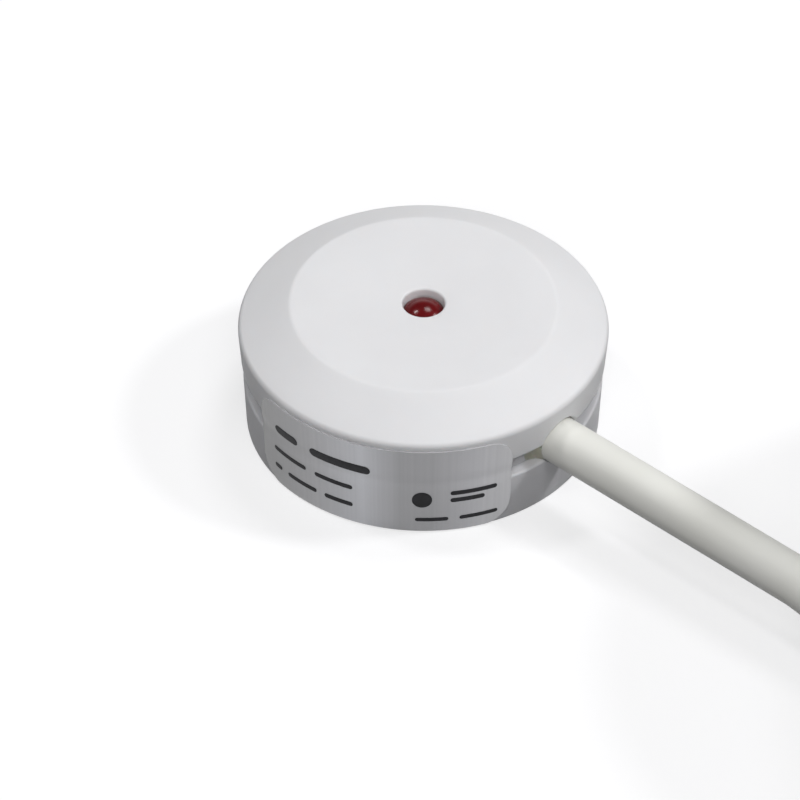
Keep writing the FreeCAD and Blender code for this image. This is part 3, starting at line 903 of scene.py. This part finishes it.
@dataclass
class IndicatorLamp:
    """A 3 mm lamp: a domed epoxy body with a flange, cast round two posts and a die.

    The outlines of the cathode's and the anode's posts are given as radius and height.
    """

    radius: float = 1.45
    dome: float = 2.07
    tip: float = 10.38
    seat: float = 5.14
    flange: float = 1.9
    flange_height: float = 1.0
    flange_round: float = 0.1
    flange_flat: float = 1.6
    cathode: tuple[Corner, ...] = (
        Corner(0, 5.64), Corner(0.3, 5.64), Corner(0.3, 7.2), Corner(0.62, 7.6), Corner(0.62, 8.2),
        Corner(0.54, 8.2), Corner(0.341, 7.9), Corner(0, 7.9),
    )
    cathode_side: float = -0.25
    anode: tuple[Corner, ...] = (Corner(0, 5.64), Corner(0.24, 5.64), Corner(0.24, 8.15), Corner(0, 8.15))
    anode_side: float = 0.75
    die_size: float = 0.26
    die_height: float = 8.03
    die_bevel: float = 0.02

    def lens(self) -> None:
        """The epoxy body: a dome on a stem, with a flange that has a flat."""
        shoulder = math.degrees(math.acos(self.radius / self.dome))
        flange_top = self.seat + self.flange_height
        foot = rounded((
            Corner(0, self.seat), Corner(self.flange, self.seat, self.flange_round),
            Corner(self.flange, flange_top, self.flange_round), Corner(self.radius, flange_top),
        ))
        cap = arc(Vector((0, 0, self.tip - self.dome)), self.dome, shoulder, 90.0, DOME_STEPS)
        body = turned("lamp_lens", foot + cap, LAMP_STEPS)
        middle = (self.flange_flat + self.flange / 2, 0, self.seat)
        flat = box("flat", middle, (self.flange, 3 * self.flange, 3 * self.flange_height))
        combine(body, flat, Cut.AWAY)
        finished(body, LAMP_EPOXY, "lamp_epoxy", "led_lens")

    def lead_frame(self) -> None:
        """The cathode's post with its reflector cup, and the anode's narrower post beside it."""
        cathode = turned("cathode", rounded(self.cathode), LAMP_STEPS // 2)
        placed(cathode, Matrix.Translation((0, self.cathode_side, 0)))
        anode = turned("anode", rounded(self.anode), LAMP_STEPS // 4)
        placed(anode, Matrix.Translation((0, self.anode_side, 0)))
        finished(joined("lamp_lead_frame", (cathode, anode)), LEAD_FRAME, "tinned_wire")

    def die(self) -> None:
        """The light emitting chip in the cup, with its edges eased."""
        chip = box("lamp_die", (0, self.cathode_side, self.die_height), (self.die_size,) * 3)
        with editing(chip):
            bpy.ops.mesh.bevel(offset=self.die_bevel, segments=2)
        finished(chip, LAMP_DIE, "chip_plastic")

    def build(self) -> None:
        """Makes the lamp's pieces."""
        for make in (self.lens, self.lead_frame, self.die):
            make()


@dataclass
class Resin:
    """Half clear bead that seals the lead in the groove: it climbs the sheath and thins out on the spigot.

    The bends of its hollow face are given as shares of its thickness and its reach.
    """

    form: Form
    reach: float = 0.8
    thick: float = 0.9
    bends: tuple[Corner, ...] = (Corner(0.45, 0.15, 0.4), Corner(0.2, 0.5, 0.4))
    far_side: float = 2.0
    gap: float = 0.05
    touch: float = 0.01
    lift: float = 0.02

    def build(self) -> None:
        """Turns a ring round the lead's axis, lays its foot on the spigot and trims it to the groove."""
        form = self.form
        outer = form.lead_radius + self.thick
        inner = form.lead_radius + self.touch
        face = [Corner(inner + bend.across * self.thick, bend.up * self.reach, bend.radius)
                for bend in self.bends]
        outline = rounded((Corner(inner, 0), Corner(outer, 0), *face, Corner(inner, self.reach)))
        ring = turned("sealing_bead", outline, RESIN_STEPS)
        placed(ring, Matrix.Translation((self.lift, 0, form.lead_height)) @ spin(90.0, "Y"))
        for vertex in ring.data.vertices:
            vertex.co.x += math.sqrt(form.spigot_radius ** 2 - vertex.co.y ** 2)
        high = form.lip - self.gap
        low = form.ledge + self.touch
        middle = (form.rim, self.far_side - outer, (low + high) / 2)
        combine(ring, box("groove", middle, (form.rim, 2 * outer, high - low)), Cut.KEEP)
        finished(ring, CAST_RESIN, "clear_resin", "sealing_resin")


CORE_COLOURS = ("white", "brown", "green", "yellow")
# How much a point of a curve of order three counts where the curve passes it; its neighbours share the rest
OWN_SHARE = 0.75


def smooth(share: float) -> float:
    """Eases a share from 0 to 1 in and out."""
    return share * share * (3 - 2 * share)


@dataclass
class Lead:
    """The lead: out of the housing, over to the side, and the rest of its length wound into a coil."""

    form: Form
    length: float = 3000.0
    straight: tuple[tuple[float, float, float], ...] = (
        (8.3, 0.0, 5.15), (31.6, 0.0, 5.15), (39.2, 0.0, 5.05), (48.8, -4.6, 1.75), (58.4, -4.6, 1.75),
    )
    tail: tuple[tuple[float, float, float], ...] = ((6.8, 0.0, -0.1), (13.6, -0.2, -0.55))
    columns: int = 4
    layers: int = 6
    middle_radius: float = 19.4
    points_per_turn: int = 24
    shift: float = 60.0
    spline_order: int = 3
    spline_steps: int = 4
    round_steps: int = 12

    def column_at(self, turn: int) -> int:
        """Column of a turn, counted from the outside: in along one layer and out along the next."""
        layer, place = divmod(turn, self.columns)
        return place if layer % 2 == 0 else self.columns - 1 - place

    def coil_points(self) -> list[Vector]:
        """Control points of the coil's turns, worked out turn by turn.

        Returns:
            Points of the lead's axis from the first turn's start to the last turn's end.
        """
        points = []
        turns = self.columns * self.layers
        pitch = 2 * self.form.lead_radius
        outer = self.middle_radius + (self.columns - 1) * pitch / 2
        centre = Vector(self.straight[-1][:2]).to_3d() + Vector((0, outer, 0))
        step_angle = 2 * math.pi / self.points_per_turn
        # The curve runs inside its points: this brings it out again, midway between its two extremes
        at_point = OWN_SHARE + (1 - OWN_SHARE) * math.cos(step_angle)
        swell = 2 / (math.cos(step_angle / 2) + at_point)
        for count in range(1, turns * self.points_per_turn):
            turn, step = divmod(count, self.points_per_turn)
            angle = 360.0 * step / self.points_per_turn
            column = float(self.column_at(turn))
            if turn + 1 < turns and angle > 360.0 - self.shift:
                share = (angle - 360.0 + self.shift) / self.shift
                column += (self.column_at(turn + 1) - column) * smooth(share)
            level = float(turn // self.columns)
            if turn % self.columns == 0 and turn and angle < self.shift:
                level -= 1 - smooth(angle / self.shift)
            radius = (outer - column * pitch) * swell
            height = self.form.lead_radius + level * pitch
            points.append(centre + spin(angle, "Z") @ Vector((0, -radius, height)))
        return points

    def route(self) -> list[Vector]:
        """Control points of the whole lead, in millimetres.

        Returns:
            The straight part's points, the coil's turns and the tail.
        """
        start = [Vector(point) for point in self.straight]
        leave = Vector((start[-1].x, start[-1].y, (2 * self.layers - 1) * self.form.lead_radius))
        end = [leave + Vector(step) for step in self.tail]
        return start + self.coil_points() + [leave] + end

    def build(self) -> None:
        form = self.form
        curve = bpy.data.curves.new("lead_sheath", "CURVE")
        curve.dimensions = "3D"
        points = self.route()
        spline = curve.splines.new("NURBS")
        spline.points.add(len(points) - 1)
        for target, point in zip(spline.points, points):
            target.co = (*(point * MM), 1.0)
        spline.order_u = self.spline_order
        spline.use_endpoint_u = True
        spline.resolution_u = self.spline_steps
        curve.bevel_depth = form.lead_radius * MM
        curve.bevel_resolution = self.round_steps
        curve.use_fill_caps = True
        curve.materials.append(SHEATH_PVC.material())
        sheath = bpy.data.objects.new("lead_sheath", curve)
        bpy.context.scene.collection.objects.link(sheath)
        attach(sheath, "root")
        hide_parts("cable_lead", "cable_coil", "cable_tail")
        LOG.info("%s: %d control points", sheath.name, len(points))


CAD_FINISHES = {
    SOLDER_MASK: ("circuit_board",),
    SOLDER: ("solder_joints",),
    TINNED_COPPER: ("led_legs", "signal_chip_feet", "relay_chip_feet", "core_strands", "tail_strands"),
    MOULDING_COMPOUND: ("signal_chip", "relay_chip", "surge_diode"),
    TANTALUM_CASE: ("tantalum_capacitor",),
    RESISTOR_GLAZE: ("chip_resistors",),
    CAPACITOR_CERAMIC: ("chip_capacitors",),
    CAST_RESIN: ("piezo_glue",),
    ROLLED_BRASS: ("piezo_brass",),
    SILVERED_CERAMIC: ("piezo_ceramic",),
    INSULATION["black_wire"]: ("piezo_wire_black",),
    INSULATION["red_wire"]: ("piezo_wire_red",),
    TIE_NYLON: ("cable_tie",),
    **{INSULATION[f"{colour}_core"]: (f"core_{colour}", f"tail_core_{colour}") for colour in CORE_COLOURS},
}


def dress_frame() -> None:
    """Gives each carried-over node its finish."""
    for finish, names in CAD_FINISHES.items():
        for name in names:
            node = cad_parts[name]
            node.data.materials.clear()
            node.data.materials.append(finish.material())


class Lamp(NamedTuple):
    """A round softbox: its bearing from the camera's side, its height angle, distance, width and power."""

    name: str
    bearing: float
    elevation: float
    distance: float
    size: float
    power: float


@dataclass
class Studio:
    """The photograph's camera, a pale floor and plain soft light."""

    azimuth: float = 41.6
    elevation: float = 41.7435
    pan: float = -0.34
    tilt: float = -0.1184
    roll: float = 0.3043
    distance: float = 378.0
    focal_pixels: float = 5124.46
    frame_pixels: float = 800.0
    lamps: tuple[Lamp, ...] = (
        Lamp("key_softbox", 94.0, 44.8, 700.0, 120.0, 1.72),
        Lamp("front_softbox", -8.0, 35.0, 700.0, 400.0, 1.35),
        Lamp("high_front_softbox", 14.0, 60.0, 700.0, 320.0, 1.1),
        Lamp("top_right_softbox", 146.5, 65.0, 700.0, 240.0, 1.15),
        Lamp("top_left_softbox", -115.3, 60.6, 700.0, 115.0, 0.85),
    )
    floor_size: float = 3000.0
    floor_bounce: str = "5A5A5C"
    floor_shown: str = "AEAEB0"
    floor_glow: float = 0.63
    ceiling: float = 0.1
    ceiling_rise: tuple[float, float] = (0.3, 0.55)

    def camera(self) -> None:
        """Puts the camera where the photograph's was."""
        data = bpy.data.cameras.new("photo_camera")
        data.lens = self.focal_pixels / self.frame_pixels * data.sensor_width
        data.clip_start = MM
        camera = bpy.data.objects.new("photo_camera", data)
        bpy.context.scene.collection.objects.link(camera)
        far = Vector((0, 0, self.distance * MM))
        here = spin(self.azimuth, "Z") @ spin(90.0 - self.elevation, "X") @ far
        dip = spin(90.0 - self.elevation - self.tilt, "X")
        aim = spin(self.azimuth - self.pan, "Z") @ dip @ spin(self.roll, "Z")
        camera.matrix_world = Matrix.Translation(here) @ aim
        bpy.context.scene.camera = camera

    def light(self, lamp: Lamp) -> None:
        """Hangs one area lamp, turned to the housing.

        Args:
            lamp: Where it hangs, its size and its power in watts.
        """
        data = bpy.data.lights.new(lamp.name, "AREA")
        data.shape = "DISK"
        data.size = lamp.size * MM
        data.energy = lamp.power
        hung = bpy.data.objects.new(lamp.name, data)
        bpy.context.scene.collection.objects.link(hung)
        away = Matrix.Translation((0, 0, lamp.distance * MM))
        hung.matrix_world = spin(self.azimuth + lamp.bearing, "Z") @ spin(90.0 - lamp.elevation, "X") @ away

    def seen(self, tree: NodeTree) -> NodeSocket:
        """One where a ray comes from the camera, or from it by way of metal or glass, and zero elsewhere.

        Args:
            tree: The tree of the floor or the world.

        Returns:
            The socket that holds it.
        """
        path = add_node(tree, "LightPath")
        mirrored = add_node(tree, "Math", {
            0: path.outputs["Is Glossy Ray"], 1: path.outputs["Is Transmission Ray"],
        }, operation="MAXIMUM")
        return add_node(tree, "Math", {
            0: path.outputs["Is Camera Ray"], 1: mirrored.outputs[0],
        }, operation="MAXIMUM").outputs[0]

    def world(self) -> None:
        """White behind the object; gloss shows it too, under a dim ceiling, and matt surfaces get none."""
        world = bpy.data.worlds.new("studio")
        bpy.context.scene.world = world
        world.use_nodes = True
        tree = world.node_tree
        tree.nodes.clear()
        sky = add_node(tree, "TexCoord").outputs["Generated"]
        height = add_node(tree, "SeparateXYZ", {0: sky})
        low, high = self.ceiling_rise
        ceiling = add_node(tree, "MapRange", {
            "Value": height.outputs["Z"], "From Min": low, "From Max": high,
            "To Min": 1.0, "To Max": self.ceiling,
        })
        inputs = {0: ceiling.outputs["Result"], 1: add_node(tree, "LightPath").outputs["Is Camera Ray"]}
        backdrop = add_node(tree, "Math", inputs, operation="MAXIMUM")
        inputs = {0: self.seen(tree), 1: backdrop.outputs[0]}
        shown = add_node(tree, "Math", inputs, operation="MULTIPLY")
        inputs = {"Color": linear("FFFFFF"), "Strength": shown.outputs[0]}
        light = add_node(tree, "Background", inputs)
        add_node(tree, "OutputWorld", {"Surface": light.outputs["Background"]})

    def floor(self) -> None:
        """A pale floor that shows white with a soft shadow, and throws back less light than it shows."""
        bpy.ops.mesh.primitive_plane_add(size=self.floor_size * MM)
        ground = added("studio_floor")
        material = bpy.data.materials.new("pale_floor")
        material.use_nodes = True
        tree = material.node_tree
        tree.nodes.clear()
        shown = add_node(tree, "BsdfDiffuse", {"Color": linear(self.floor_shown)})
        inputs = {"Color": linear("FFFFFF"), "Strength": self.floor_glow}
        glow = add_node(tree, "Emission", inputs).outputs["Emission"]
        pale = add_node(tree, "AddShader", {0: shown.outputs["BSDF"], 1: glow})
        bounce = add_node(tree, "BsdfDiffuse", {"Color": linear(self.floor_bounce)})
        mixed = add_node(tree, "MixShader", {
            0: self.seen(tree), 1: bounce.outputs["BSDF"], 2: pale.outputs["Shader"],
        })
        add_node(tree, "OutputMaterial", {"Surface": mixed.outputs["Shader"]})
        ground.data.materials.append(material)

    def build(self) -> None:
        """Sets up camera, world, floor and lamps."""
        bpy.context.scene.view_settings.view_transform = "Standard"
        self.camera()
        self.world()
        self.floor()
        for lamp in self.lamps:
            self.light(lamp)


def main() -> None:
    """Builds the studio and each sub-assembly in order."""
    logging.basicConfig(level=logging.INFO, format="%(name)s: %(message)s")
    form = Form()
    Studio().build()
    for assembly in (Lead(form), Cover(form), Base(form), SideLabel(form), IndicatorLamp(), Resin(form)):
        assembly.build()
    dress_frame()


if __name__ == "__main__":
    main()
